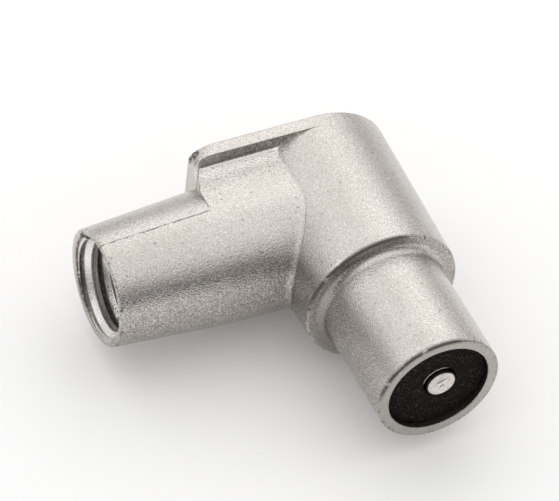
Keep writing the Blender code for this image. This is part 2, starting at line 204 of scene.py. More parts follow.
def turned(name, profile, place, angles=None, grow=None):
    """Turned solid from (reach, radius) points; grow(reach, angle) adds to the radius."""
    angles = angles or circle_angles(SEGMENTS)
    rings = []
    for reach, radius in profile:
        ring = []
        for angle in angles:
            full = radius + (grow(reach, angle) if grow else 0.0)
            ring.append(place(reach, full * math.cos(angle), full * math.sin(angle)))
        rings.append(ring)
    return to_object(name, loft(rings))


def prism(name, outline, place, low, high):
    return to_object(name, loft([[place(point, height) for point in outline] for height in (low, high)]))


def combine(target, other, operation):
    """Applies an exact Boolean and removes the other object."""
    modifier = target.modifiers.new("combine", 'BOOLEAN')
    modifier.object = other
    modifier.operation = operation
    modifier.solver = 'EXACT'
    graph = bpy.context.evaluated_depsgraph_get()
    mesh = bpy.data.meshes.new_from_object(target.evaluated_get(graph))
    target.modifiers.clear()
    target.data = mesh
    bpy.data.objects.remove(other)


def finish_piece(item, material, body, node=None, sharp=32):
    """Scales a piece to metres, puts it in the frame, shades it smooth and lets it ride."""
    item.data.transform(Matrix.Translation(AXES_CROSS))
    item.data.transform(Matrix.Scale(MM, 4))
    item.data.materials.clear()
    item.data.materials.append(material)
    item.data.shade_smooth()
    item.data.set_sharp_from_angle(angle=math.radians(sharp))
    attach(item, body)
    if node:
        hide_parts(node)
    return item


def barrel_radius(reach):
    share = (SHOULDER_REACH - reach) / (SHOULDER_REACH + BACK_DEPTH)
    return SHOULDER_RADIUS + (BARREL_BACK_RADIUS - SHOULDER_RADIUS) * share


def arm_radius(reach):
    if reach >= BLOCK_REACH:
        share = (reach - BLOCK_REACH) / (ARM_REACH - BLOCK_REACH)
        return ARM_ROOT_RADIUS + (ARM_MOUTH_RADIUS - ARM_ROOT_RADIUS) * share
    return ARM_ROOT_RADIUS + BLOCK_WALL_RISE * (BLOCK_REACH - reach) / (BLOCK_REACH - BLOCK_INNER_REACH)


def make_barrel():
    """Nose, shoulder and barrel as one turned solid."""
    rim = arc((NOSE_REACH - RIM_ROUND, NOSE_RADIUS - RIM_ROUND), RIM_ROUND, 0, 90, EDGE_STEPS)
    base = arc((SHOULDER_REACH + BASE_FILLET, NOSE_RADIUS + BASE_FILLET), BASE_FILLET,
               270, 180, FILLET_STEPS)
    shoulder = arc((SHOULDER_REACH - SHOULDER_ROUND, SHOULDER_RADIUS - SHOULDER_ROUND), SHOULDER_ROUND,
                   0, 90, EDGE_STEPS)
    back = arc((-BACK_DEPTH + BACK_ROUND, BARREL_BACK_RADIUS - BACK_ROUND), BACK_ROUND, 90, 180, EDGE_STEPS)
    back = [(reach + BARREL_SHIFT, radius) for reach, radius in back]
    profile = (rim[:-1] + dense([rim[-1], base[0]], STRIP) + base[1:] + shoulder[:-1]
               + dense([shoulder[-1], back[0]], STRIP) + back[1:])
    return turned("barrel", profile, along_nose)


def web_front(across):
    """Depth of the flange's front face: flat, then curving forward near the free end."""
    start = -FLANGE_REACH + WEB_RADIUS
    run = min(max(start - across, 0.0), WEB_RADIUS)
    drop = WEB_RADIUS - math.sqrt(WEB_RADIUS ** 2 - run ** 2)
    return FLANGE_FRONT - min(drop, WEB_DEPTH)


def free_end(corner, end_radius):
    """Upper edge of the flange as (x, z, outward x, outward z): a long curve, then a tight corner."""
    top = BARREL_BACK_RADIUS - FLANGE_SHIFT
    end_centre = (-FLANGE_REACH + end_radius, top - corner)
    turn = math.acos((corner - TOP_CURVE) / (end_radius - TOP_CURVE))
    top_centre = (end_centre[0] + (TOP_CURVE - end_radius) * math.sin(turn), top - TOP_CURVE)
    edge = [(top_centre[0] * index / 24, top, 0.0, 1.0) for index in range(25)]
    for centre, radius, start, end, steps in ((top_centre, TOP_CURVE, 0.0, turn, 8),
                                              (end_centre, end_radius, turn, math.pi / 2, 12)):
        for step in range(1, steps + 1):
            angle = start + (end - start) * step / steps
            nx, nz = -math.sin(angle), math.cos(angle)
            edge.append((centre[0] + radius * nx, centre[1] + radius * nz, nx, nz))
    return edge


def make_flange():
    """Plate behind the block, its front curving forward at the free end, where it is less rounded."""
    front_edge = free_end(FRONT_CORNER, FRONT_END_CORNER)
    back_edge = free_end(FLANGE_CORNER, END_CORNER)

    def ring(inset, depth_of):
        upper = []
        for front, back in zip(front_edge, back_edge):
            web = FLANGE_FRONT - WEB_DEPTH
            share = min(max((depth_of(back[0]) - web) / (BACK_DEPTH - web), 0.0), 1.0)
            x, z, nx, nz = (a + (b - a) * share for a, b in zip(front, back))
            upper.append(Vector((x - nx * inset, depth_of(x), z - nz * inset)))
        return upper + [Vector((point.x, point.y, -point.z)) for point in reversed(upper)]

    rings = []
    for inset_share, depth_share in arc((1.0, 1.0), 1.0, 180, 270, SMALL_EDGE_STEPS):
        depth = FLANGE_FRONT_ROUND * depth_share
        rings.insert(0, ring(FLANGE_FRONT_ROUND * inset_share,
                             lambda x, depth=depth: web_front(x) + depth))
    for share in (0.35, 0.65):
        rings.append(ring(0.0, lambda x, share=share:
                          web_front(x) + (BACK_DEPTH - web_front(x)) * share))
    for inset_share, depth_share in arc((1.0, -1.0), 1.0, 180, 90, SMALL_EDGE_STEPS):
        depth = BACK_DEPTH + BACK_ROUND * depth_share
        rings.append(ring(BACK_ROUND * inset_share, lambda x, depth=depth: depth))
    builder = bmesh.new()
    built = [[builder.verts.new(point) for point in points] for points in rings]
    for first, second in zip(built, built[1:]):
        bridge(builder, first, second)
    builder.faces.new(built[-1])
    front = built[0]
    last = len(front) - 1
    for index in range(len(front_edge) - 1):
        builder.faces.new((front[index], front[index + 1], front[last - index - 1], front[last - index]))
    return to_object("flange", builder)


def seam_growth(reach, angle):
    """Flash along the parting plane of the arm, and the small step between the two die halves."""
    across, up = math.cos(angle), math.sin(angle)
    if reach < BLOCK_REACH:
        return 0.0
    step = DIE_MISMATCH if across > 0 else 0.0
    if abs(across) > SEAM_HALF_WIDTH:
        return -step
    seed = TOP_SEAM_SEED if up > 0 else BOTTOM_SEAM_SEED
    rough = noise.noise(Vector((reach * 2.7, seed, 0.0)))
    rough += 0.5 * noise.noise(Vector((reach * 8.0, seed, 3.0)))
    near_block = 1.0 - min((reach - BLOCK_REACH) / SEAM_FADE_LENGTH, 1.0)
    height = SEAM_HEIGHT * max(0.0, 0.35 + 0.4 * near_block + 0.9 * rough)
    return height * (1.0 - abs(across) / SEAM_HALF_WIDTH) - step * 0.5


def make_arm():
    """Cone of the cable arm and the half-round front of the block, with the seam's flash."""
    mouth_start = ARM_REACH - ARM_MOUTH_ROUND
    mouth = arc((mouth_start, ARM_MOUTH_RADIUS - ARM_MOUTH_ROUND), ARM_MOUTH_ROUND, 0, 90, SMALL_EDGE_STEPS)
    reaches = dense([(mouth_start, 0.0), (BLOCK_REACH, 0.0)], ARM_STRIP)
    reaches += dense([(BLOCK_REACH, 0.0), (BLOCK_INNER_REACH, 0.0)], BLOCK_FRONT_STRIP)[1:]
    body = [(reach, arm_radius(reach)) for reach, _ in reaches]
    angles = set(circle_angles(SEGMENTS))
    for seam in (math.pi / 2, 3 * math.pi / 2):
        angles.update(seam + offset for offset in SEAM_ANGLES)
    return turned("arm", mouth[:-1] + body, along_arm, sorted(angles), seam_growth)


def block_end(depth):
    """Where the block ends along the arm, at a depth behind the cable axis."""
    web_start = FLANGE_FRONT - WEB_DEPTH
    share = min(max((depth - web_start + END_STEP) / END_STEP, 0.0), 1.0)
    return BLOCK_REACH + (FLANGE_REACH - 0.04 - BLOCK_REACH) * share


def foot_rise(depth):
    """How far the block's side rises where it curves up towards the flange."""
    foot = FLANGE_FRONT - BLOCK_FOOT_FILLET * 0.75
    run = min(max(depth - foot + FOOT_CURVE_RUN, 0.0), FOOT_CURVE_RUN)
    rise = FOOT_CURVE - math.sqrt(FOOT_CURVE ** 2 - run ** 2)
    slope = math.asin(FOOT_CURVE_RUN / FOOT_CURVE)
    along = min(max(depth - foot, 0.0), BLOCK_FOOT_FILLET * (1 - math.sin(slope)))
    along += BLOCK_FOOT_FILLET * math.sin(slope)
    height = math.sqrt(max(BLOCK_FOOT_FILLET ** 2 - along ** 2, 0.0))
    return rise + BLOCK_FOOT_FILLET * math.cos(slope) - height


def make_block():
    """Flat-sided block behind the arm, with a rounded end edge and a fillet at the flange's foot."""
    foot_start = FLANGE_FRONT - FOOT_SPAN
    depths = [depth for depth, _ in dense([(0.0, 0.0), (foot_start, 0.0)], SIDE_STRIP)]
    depths += [foot_start + FOOT_SPAN * math.sin(math.radians(turn)) for turn in range(6, 91, 6)]
    depths.append(FLANGE_FRONT + FLANGE_THICKNESS / 2)
    side = [(depth, foot_rise(depth)) for depth in depths]
    length = BLOCK_REACH - BLOCK_INNER_REACH - BLOCK_END_ROUND
    stations = [reach for reach, _ in dense([(0.0, 0.0), (length, 0.0)], STRIP)]
    builder = bmesh.new()
    rings = []

    def add_ring(place, inset):
        ring = []
        for sign, points in ((1, side), (-1, side[::-1])):
            for depth, rise in points:
                reach = place(block_end(depth))
                up = arm_radius(reach) - BLOCK_SHIFT + rise - inset
                ring.append(builder.verts.new((-reach, depth, sign * up)))
        rings.append(ring)

    for station in stations:
        share = station / length
        add_ring(lambda end, share=share: BLOCK_INNER_REACH
                 + (end - BLOCK_END_ROUND - BLOCK_INNER_REACH) * share, 0.0)
    for turn in (18, 36, 54, 72, 90):
        forward = BLOCK_END_ROUND * (math.sin(math.radians(turn)) - 1)
        inset = BLOCK_END_ROUND * (1 - math.cos(math.radians(turn)))
        add_ring(lambda end, forward=forward: end + forward, inset)
    for first, second in zip(rings, rings[1:]):
        bridge(builder, first, second)
    builder.faces.new(rings[0])
    end = rings[-1]
    last = len(end) - 1
    for index in range(len(side) - 1):
        builder.faces.new((end[index], end[index + 1], end[last - index - 1], end[last - index]))
    return to_object("block", builder)


def make_arm_fillet():
    """Rolling-ball fillet that runs round the arm where it meets the barrel."""
    radius = ARM_ROOT_RADIUS + BLOCK_WALL_RISE * 0.45
    straight = [(4.5 - 0.5 * step, radius) for step in range(9)]
    outline = straight + arc((0.0, 0.0), radius, 90, 270, SEGMENTS // 2)
    outline += [(depth, -up) for depth, up in reversed(straight)]
    sections = []
    for depth, up in outline:
        normal = Vector((0.0, min(depth, 0.0), up)).normalized()
        centre = Vector((0.0, depth, up)) + normal * ARM_FILLET
        centre.x = -math.sqrt((barrel_radius(-depth) + ARM_FILLET) ** 2 - centre.z ** 2)
        centre += normal * (arm_radius(-centre.x) - radius)
        to_side = -normal
        to_barrel = Vector((-centre.x, 0.0, -centre.z)).normalized()
        turn = to_side.angle(to_barrel)
        section = []
        for step in range(CORNER_STEPS + 1):
            share = step / CORNER_STEPS
            ray = to_side * math.sin((1 - share) * turn) + to_barrel * math.sin(share * turn)
            section.append(centre + ray / math.sin(turn) * ARM_FILLET)
        section[0] += to_side * FILLET_SINK
        section[-1] += to_barrel * FILLET_SINK
        section.append(centre + (to_side + to_barrel).normalized() * FILLET_CORE)
        sections.append(section)
    return to_object("arm_fillet", loft(sections))


def keyhole(radius, reach, corner, low, high, name):
    """Prism with one half-round end and one free end with rounded corners."""
    half = arc((0.0, 0.0), radius, -90, 90, SEGMENTS // 2)
    top_corner = arc((-reach + corner, radius - corner), corner, 90, 180, CORNER_STEPS)
    bottom_corner = [(across, -up) for across, up in reversed(top_corner)]
    return prism(name, half + top_corner + bottom_corner,
                 lambda point, depth: Vector((point[0], depth, point[1])), low, high)


def chamber():
    """Hollow of the block: half round in front, open to the back."""
    radius = ARM_ROOT_RADIUS - WALL
    outline = [(COVER_SEAT + OVERSHOOT, radius)] + arc((0.0, 0.0), radius, 90, 270, SEGMENTS // 2)
    outline.append((COVER_SEAT + OVERSHOOT, -radius))
    return prism("chamber", outline, lambda point, across: Vector((across, point[0], point[1])),
                 -(BLOCK_REACH - WALL), 0.0)


def thread_cutter():
    """Groove that winds inwards from the arm's mouth, its gentle flank facing the mouth, and runs out."""
    turns = (THREAD_START_REACH - THREAD_END_REACH) / THREAD_PITCH
    count = round(turns * THREAD_STEPS)
    sunk = BORE_RADIUS - CUTTER_SINK
    rings = []
    for index in range(count + 1):
        angle = 2 * math.pi * index / THREAD_STEPS
        reach = THREAD_START_REACH - THREAD_PITCH * index / THREAD_STEPS
        runout = min((count - index) / (0.6 * THREAD_STEPS), 1.0)
        depth = (BORE_RADIUS - RUNOUT_SINK
                 + (THREAD_ROOT_RADIUS - BORE_RADIUS + RUNOUT_SINK) * (0.15 + 0.85 * runout))
        section = []
        for offset, radius in ((-0.68, sunk), (-0.6, BORE_RADIUS),
                               (-0.05, depth - ROOT_ROUND), (0.02, depth), (0.09, depth - ROOT_ROUND),
                               (0.3, BORE_RADIUS), (0.38, sunk)):
            section.append(along_arm(reach + offset, radius * math.cos(angle), radius * math.sin(angle)))
        rings.append(section)
    return to_object("thread", loft(rings))


def make_casting(material):
    """The housing: its solids joined, then hollowed out and threaded."""
    casting = make_barrel()
    casting.name = "cast_housing"
    for solid in (make_flange(), make_arm(), make_block(), make_arm_fillet()):
        combine(casting, solid, 'UNION')
    hollow_end = -COVER_SEAT - OVERSHOOT
    cutters = [
        turned("nose_bore", [(NOSE_REACH + OVERSHOOT, NOSE_RADIUS - NOSE_WALL + OVERSHOOT + NOSE_BORE_LEAD),
                             (NOSE_REACH - NOSE_BORE_LEAD, NOSE_RADIUS - NOSE_WALL),
                             (WEB_FRONT_REACH, NOSE_RADIUS - NOSE_WALL)], along_nose),
        turned("neck_bore", [(WEB_FRONT_REACH + OVERSHOOT, NECK_RADIUS + FIT_GAP),
                             (WEB_BACK_REACH - OVERSHOOT, NECK_RADIUS + FIT_GAP)], along_nose),
        turned("barrel_bore", [(WEB_BACK_REACH, barrel_radius(WEB_BACK_REACH) - BARREL_WALL),
                               (hollow_end, barrel_radius(hollow_end) - BARREL_WALL)], along_nose),
        chamber(),
        turned("cable_bore", [(ARM_REACH + OVERSHOOT, MOUTH_CHAMFER_RADIUS + OVERSHOOT),
                              (ARM_REACH, MOUTH_CHAMFER_RADIUS),
                              (ARM_REACH - MOUTH_CHAMFER, BORE_RADIUS + MOUTH_LIP_RISE),
                              (ARM_REACH - MOUTH_CHAMFER - MOUTH_LIP_RUN, BORE_RADIUS),
                              (BLOCK_REACH - WALL - OVERSHOOT, BORE_RADIUS)], along_arm),
        keyhole(BARREL_BACK_RADIUS - COVER_RIM, FLANGE_REACH - COVER_RIM, COVER_CORNER, COVER_SEAT,
                BACK_DEPTH + OVERSHOOT, "lid_seat"),
        thread_cutter(),
    ]
    for cutter in cutters:
        combine(casting, cutter, 'DIFFERENCE')
    return finish_piece(casting, material, "root", "housing")


def at_pin(place):
    """The same placing, shifted to the pin's own axis."""
    shift = Vector((PIN_OFF_CENTRE[0], 0.0, PIN_OFF_CENTRE[1]))
    return lambda reach, across, up: place(reach, across, up) + shift


def make_insulator(material):
    """Stepped moulding with the pin's hole, which is wider at its mouth."""
    outer = NOSE_RADIUS - NOSE_WALL - FIT_GAP
    front = NOSE_REACH - INSULATOR_RECESS
    step = WEB_FRONT_REACH + FIT_GAP
    neck_end = WEB_BACK_REACH - NECK_STAND
    rim = arc((front - INSULATOR_ROUND, outer - INSULATOR_ROUND), INSULATOR_ROUND, 0, 90, TINY_EDGE_STEPS)
    item = turned("moulded_insulator", rim + dense([rim[-1], (step, outer)], INSULATOR_STRIP)[1:]
                  + [(step, NECK_RADIUS), (neck_end, NECK_RADIUS)], along_nose)
    hole = PIN_RADIUS + FIT_GAP
    mouth = hole + COUNTERBORE_WIDTH
    edge = arc((front - HOLE_ROUND, mouth + HOLE_ROUND), HOLE_ROUND, 270, 360, TINY_EDGE_STEPS)
    cutter = turned("pin_hole", [(front + OVERSHOOT, mouth + HOLE_ROUND)] + edge[::-1]
                    + [(front - COUNTERBORE_DEPTH, mouth), (front - COUNTERBORE_DEPTH, hole),
                       (neck_end - OVERSHOOT, hole)], at_pin(along_nose), circle_angles(PIN_SEGMENTS))
    combine(item, cutter, 'DIFFERENCE')
    return finish_piece(item, material, "root", "insulator")


def make_contact(material):
    """Pin with a small centre mark on its end, and a head with a cross hole and a hole for the screw."""
    tip = NOSE_REACH - PIN_RECESS
    head_front = WEB_BACK_REACH - NECK_STAND - FIT_GAP
    edge = [(tip, PIN_RADIUS - PIN_CHAMFER), (tip - 0.01, PIN_RADIUS - PIN_CHAMFER + 0.015),
            (tip - PIN_CHAMFER, PIN_RADIUS)]
    head = [(head_front, PIN_RADIUS), (head_front, HEAD_RADIUS - 0.08), (head_front - 0.08, HEAD_RADIUS),
            (-HEAD_BACK + 0.1, HEAD_RADIUS), (-HEAD_BACK, HEAD_RADIUS - 0.1)]
    dimple = [(tip - DIMPLE_DEPTH, DIMPLE_ROOT), (tip, DIMPLE_RADIUS)]
    profile = dimple + edge + dense([edge[-1], head[0]], CONTACT_STRIP)[1:] + head[1:]
    item = turned("turned_contact", profile, at_pin(along_nose), circle_angles(PIN_SEGMENTS))
    through = HEAD_RADIUS + OVERSHOOT
    combine(item, turned("conductor_hole", [(through, CONDUCTOR_HOLE_RADIUS),
                                            (-through, CONDUCTOR_HOLE_RADIUS)],
                         along_arm, circle_angles(HOLE_SEGMENTS)), 'DIFFERENCE')
    combine(item, turned("tapped_hole", [(0.0, SCREW_RADIUS + FIT_GAP),
                                         (-HEAD_BACK - OVERSHOOT, SCREW_RADIUS + FIT_GAP)],
                         at_pin(along_nose), circle_angles(HOLE_SEGMENTS)), 'DIFFERENCE')
    return finish_piece(item, material, "root", "centre_contact")


def make_screw(material):
    """Clamp screw with a round head and a slot."""
    seat = -HEAD_BACK - FIT_GAP
    top = seat - SCREW_HEAD_HEIGHT
    shank = [(-SCREW_TIP, SCREW_RADIUS - SCREW_TIP_CHAMFER), (-SCREW_TIP_END, SCREW_RADIUS),
             (seat, SCREW_RADIUS), (seat, SCREW_HEAD_RADIUS)]
    head_edge = arc((top + SCREW_HEAD_ROUND, SCREW_HEAD_RADIUS - SCREW_HEAD_ROUND), SCREW_HEAD_ROUND,
                    90, 180, EDGE_STEPS)
    item = turned("slotted_screw", shank + head_edge, at_pin(along_nose), circle_angles(SCREW_SEGMENTS))
    half = SCREW_SLOT_WIDTH / 2
    reach = SCREW_HEAD_RADIUS + OVERSHOOT
    outline = [(-reach, -half), (reach, -half), (reach, half), (-reach, half)]
    place = at_pin(along_nose)
    slot = prism("slot", outline, lambda point, depth: place(-depth, point[0], point[1]),
                 -top - SCREW_SLOT_DEPTH, -top + OVERSHOOT)
    combine(item, slot, 'DIFFERENCE')
    return finish_piece(item, material, "root", "clamp_screw")


def make_cover(material):
    """Lid of sheet metal with the rolled-over edge that a punch leaves."""
    item = keyhole(BARREL_BACK_RADIUS - COVER_RIM - FIT_GAP, FLANGE_REACH - COVER_RIM - FIT_GAP,
                   COVER_CORNER, BACK_DEPTH - COVER_THICKNESS, BACK_DEPTH, "pressed_cover")
    bevel = item.modifiers.new("edge", 'BEVEL')
    bevel.width = COVER_ROUND
    bevel.segments = 3
    bevel.limit_method = 'ANGLE'
    bevel.angle_limit = math.radians(60)
    graph = bpy.context.evaluated_depsgraph_get()
    mesh = bpy.data.meshes.new_from_object(item.evaluated_get(graph))
    item.modifiers.clear()
    item.data = mesh
    return finish_piece(item, material, "root", "back_cover")


class Graph:
    """Small helper that adds nodes to a material's or a world's tree and links them."""

    def __init__(self, owner):
        owner.use_nodes = True
        self.nodes = owner.node_tree.nodes
        self.links = owner.node_tree.links

    def add(self, kind, inputs=(), **settings):
        node = self.nodes.new(kind)
        for name, value in settings.items():
            setattr(node, name, value)
        for name, value in dict(inputs).items():
            self.feed(node.inputs[name], value)
        return node

    def feed(self, socket, value):
        if isinstance(value, bpy.types.NodeSocket):
            self.links.new(value, socket)
        else:
            socket.default_value = value

    def noise(self, place, scale, detail=3.0, roughness=0.55):
        """Noise from 0 to 1; scale is in features per millimetre."""
        node = self.add("ShaderNodeTexNoise", {"Vector": place, "Scale": scale / MM, "Detail": detail,
                                               "Roughness": roughness})
        return node.outputs["Fac"]

    def math(self, operation, first, second=0.0, third=0.0):
        node = self.add("ShaderNodeMath", {0: first, 1: second, 2: third}, operation=operation)
        return node.outputs[0]

    def vector(self, operation, first, second):
        return self.add("ShaderNodeVectorMath", {0: first, 1: second}, operation=operation)

    def largest(self, first, *others):
        for other in others:
            first = self.math('MAXIMUM', first, other)
        return first

    def product(self, first, *others):
        for other in others:
            first = self.math('MULTIPLY', first, other)
        return first

    def length(self, *parts):
        total = 0.0
        for part in parts:
            total = self.math('MULTIPLY_ADD', part, part, total)
        return self.math('SQRT', total)

    def ramp(self, value, low, high, to_low=0.0, to_high=1.0):
        """Maps low..high to to_low..to_high with a smooth step; low may be the larger."""
        if low > high:
            low, high, to_low, to_high = high, low, to_high, to_low
        node = self.add("ShaderNodeMapRange", {"Value": value, "From Min": low, "From Max": high,
                                               "To Min": to_low, "To Max": to_high},
                        interpolation_type='SMOOTHSTEP')
        return node.outputs["Result"]

    def fade(self, value, low, high):
        """Smooth step from 0 at low to 1 at high, both in millimetres; low may be the larger."""
        return self.ramp(value, low * MM, high * MM)

    def mix(self, factor, first, second):
        node = self.add("ShaderNodeMix", {0: factor, 6: first, 7: second}, data_type='RGBA')
        return node.outputs[2]

    def bump(self, height, distance, normal=None):
        """Bump whose height is in millimetres."""
        inputs = {"Height": height, "Strength": 1.0, "Distance": distance * MM}
        if normal is not None:
            inputs["Normal"] = normal
        return self.add("ShaderNodeBump", inputs).outputs["Normal"]

    def local_place(self):
        """Position in metres from the point where the axes cross."""
        place = self.add("ShaderNodeTexCoord").outputs["Object"]
        return self.vector('SUBTRACT', place, AXES_CROSS * MM).outputs[0]

    def split(self, vector):
        return self.add("ShaderNodeSeparateXYZ", {0: vector}).outputs[:3]

    def near_ring(self, along, first, second, place, radius, width):
        """1 on the circle at that place and radius of an axis, falling to 0 at width away from it."""
        gap_out = self.math('SUBTRACT', self.length(first, second), radius * MM)
        gap_along = self.math('SUBTRACT', along, place * MM)
        return self.fade(self.length(gap_out, gap_along), width, 0.0)

    def near_line(self, place, start, end, width):
        """1 on the line between two points in millimetres, falling to 0 at width away from it."""
        start, end = Vector(start) * MM, Vector(end) * MM
        run = end - start
        out = self.vector('SUBTRACT', place, start).outputs[0]
        share = self.vector('DOT_PRODUCT', out, run / run.length_squared).outputs["Value"]
        share = self.math('MINIMUM', self.math('MAXIMUM', share, 0.0), 1.0)
        foot = self.add("ShaderNodeVectorMath", {0: run, "Scale": share}, operation='SCALE').outputs[0]
        return self.fade(self.vector('DISTANCE', out, foot).outputs["Value"], width, 0.0)

    def near_point(self, place, centre, radius):
        """1 at a point given in millimetres from where the axes cross, falling to 0 at radius."""
        gap = self.vector('DISTANCE', place, Vector(centre) * MM).outputs["Value"]
        return self.fade(gap, radius, 0.0)


def new_surface(name, metallic):
    """New material with its graph and the inputs of its Principled BSDF."""
    material = bpy.data.materials.new(name)
    graph = Graph(material)
    surface = graph.nodes["Principled BSDF"].inputs
    surface["Metallic"].default_value = metallic
    return material, graph, surface


class CastingMarks:
    """Masks from 0 to 1 for the places where the casting is worn or chipped, and for its painted shade and
    painted highlights.
    """

    def __init__(self, graph):
        self.g = graph
        self.place = graph.local_place()
        self.x, self.y, self.z = graph.split(self.place)
        self.swell = graph.noise(self.place, 0.9, 3.0, 0.5)
        self.mottle = graph.noise(self.place, 3.2, 3.0, 0.6)
        self.grain = graph.noise(self.place, 9.0, 1.5, 0.6)
        self.patches = graph.ramp(graph.noise(self.place, 1.1, 4.0, 0.7), 0.47, 0.6)
        self.shreds = graph.ramp(graph.noise(self.place, 3.2, 4.0, 0.75), 0.46, 0.58)
        self.lean = graph.math('MULTIPLY_ADD', self.x, -0.6, self.z)

    def nose_ring(self, reach, radius, width):
        return self.g.near_ring(self.y, self.x, self.z, -reach, radius, width)

    def mouth_ring(self, reach, radius, width):
        return self.g.near_ring(self.x, self.y, self.z, -reach, radius, width)

    def worn_edge(self, reach, radius, width):
        """Dark line round the nose's axis: nearly whole at the upper left, in spots elsewhere."""
        g = self.g
        whole = g.product(g.fade(self.lean, 0.6 * radius, 0.9 * radius), g.ramp(self.swell, 0.3, 0.42))
        return g.product(self.nose_ring(reach, radius, width),
                         g.largest(g.product(self.patches, self.shreds), whole))

    def inside_nose(self):
        """Painted shade on the nose's dark wall between its rim and the insulator."""
        ring = self.nose_ring(NOSE_REACH - 0.45, NOSE_RADIUS - NOSE_WALL - 0.2, 0.6)
        return self.g.product(ring, self.g.fade(self.y, -NOSE_REACH, -NOSE_REACH + 0.06))

    def mouth_edge_marks(self):
        """Worn outer edge of the arm's mouth, and the dark line along the far side of its chamfer."""
        g = self.g
        outer = g.product(self.mouth_ring(ARM_REACH - 0.05, ARM_MOUTH_RADIUS, 0.26),
                          self.patches, self.shreds)
        line = g.product(self.mouth_ring(ARM_REACH - 0.15, MOUTH_CHAMFER_RADIUS - 0.16, 0.18),
                         g.fade(self.y, 0.5, 2.0), g.ramp(self.mottle, 0.38, 0.46))
        return g.largest(outer, line)

    def chips(self):
        """Black chips at the upper far side of the arm's mouth."""
        g = self.g
        near = g.ramp(g.near_point(self.place, CHIPS_PLACE, CHIPS_RADIUS), 0.1, 0.4)
        return g.product(near, g.ramp(g.noise(self.place, 2.6, 2.0, 0.5), 0.43, 0.49))

    def thread(self):
        """Two masks inside the arm: painted shade in the roots and along the crest lines, and a painted
        highlight on the flanks between them.
        """
        g = self.g
        depth_in = g.math('ADD', self.x, ARM_REACH * MM)
        inside = g.fade(g.length(self.y, self.z), THREAD_ROOT_RADIUS + 0.13, THREAD_ROOT_RADIUS + 0.08)
        in_bore = g.product(inside, g.fade(depth_in, 0.2, 0.3), g.fade(self.x, -8.0, -9.0))
        turn = g.math('MULTIPLY', g.math('ARCTAN2', self.z, self.y), 0.5 / math.pi)
        turns_in = g.math('MULTIPLY_ADD', depth_in, 1.0 / (THREAD_PITCH * MM),
                          (THREAD_START_REACH - ARM_REACH) / THREAD_PITCH)
        from_root = g.math('WRAP', g.math('SUBTRACT', turns_in, turn), 0.5, -0.5)
        root = g.ramp(g.math('ABSOLUTE', from_root), 0.2, 0.13)
        crest_line = g.ramp(g.math('ABSOLUTE', g.math('ADD', from_root, 0.45)), 0.06, 0.02, 0.0, 0.7)
        dark = g.product(in_bore, g.largest(root, crest_line), g.ramp(self.mottle, 0.3, 0.6, 0.6, 0.85))
        return dark, g.product(in_bore, g.ramp(root, 1.0, 0.0))

    def flange_end_marks(self):
        """Dark corner and notch at the flange's upper free end, and the lines where the block ends."""
        g = self.g
        corner = g.product(g.ramp(g.near_point(self.place, CORNER_PLACE, 1.0), 0.1, 0.5),
                           g.ramp(g.noise(self.place, 2.8, 2.0, 0.5), 0.42, 0.52, 0.35, 1.0))
        notch = g.product(g.near_point(self.place, NOTCH_PLACE, 0.75), self.shreds, 0.6)
        lines = g.largest(*(g.near_line(self.place, *line) for line in BLOCK_END_LINES))
        return g.largest(corner, notch, g.product(lines, g.ramp(self.swell, 0.35, 0.55, 0.3, 0.8)))

    def seam(self):
        """Broken dark line, painted shade of the step between the die halves, that wanders along the
        parting plane on top of the arm.
        """
        g = self.g
        wander = g.math('MULTIPLY_ADD', g.noise(self.place, 1.6, 4.0, 0.7), 0.3 * MM, -0.15 * MM)
        line = g.fade(g.math('ABSOLUTE', g.math('ADD', self.y, wander)), 0.07, 0.02)
        on_arm = g.product(g.fade(self.x, -BLOCK_REACH, -BLOCK_REACH - 0.15), g.fade(self.z, 0.0, 1.0))
        return g.product(line, on_arm, 0.85, g.ramp(g.noise(self.place, 1.8, 4.0, 0.75), 0.44, 0.52))

    def painted_highlights(self):
        """Painted highlights along the shoulder's left edge and just behind it, along the fillet where the
        arm meets the barrel, and along the flange's foot.
        """
        g = self.g
        shoulder = g.product(self.nose_ring(SHOULDER_REACH - 0.03, SHOULDER_RADIUS, 0.24), 0.6,
                             g.fade(self.lean, 0.55 * SHOULDER_RADIUS, 0.3 * SHOULDER_RADIUS))
        behind = g.product(self.nose_ring(SHOULDER_REACH - 0.3, SHOULDER_RADIUS, 0.16),
                           g.near_point(self.place, (-3.9, -7.6, 4.6), 1.8))
        shoulder = g.product(g.largest(shoulder, behind), g.fade(self.x, -2.6, -4.0))
        arm_out = g.math('SUBTRACT', g.length(g.math('MINIMUM', self.y, 0.0), self.z),
                         (ARM_ROOT_RADIUS + 0.3) * MM)
        barrel_out = g.math('SUBTRACT', g.length(self.x, self.z), (BARREL_BACK_RADIUS + 0.1) * MM)
        arm_fillet = g.product(g.fade(g.length(arm_out, barrel_out), 0.2, 0.08),
                               g.fade(self.x, -1.0, -2.0), 0.75)
        flange_foot = g.product(g.near_line(self.place, *FLANGE_FOOT_HIGHLIGHT_LINE), 0.7)
        return g.largest(shoulder, arm_fillet, flange_foot)

    def rim_face(self):
        return self.g.fade(self.y, -NOSE_REACH + 0.12, -NOSE_REACH + 0.03)

    def painted_grey_shade(self):
        """Painted shade, greyer metal: the nose's rim, and the fillet at the left of its root."""
        g = self.g
        root = g.product(self.nose_ring(SHOULDER_REACH + 0.2, NOSE_RADIUS + 0.2, 1.0),
                         g.fade(self.x, -1.5, -3.5))
        return g.largest(g.product(root, 0.7), g.product(self.rim_face(), 0.55))

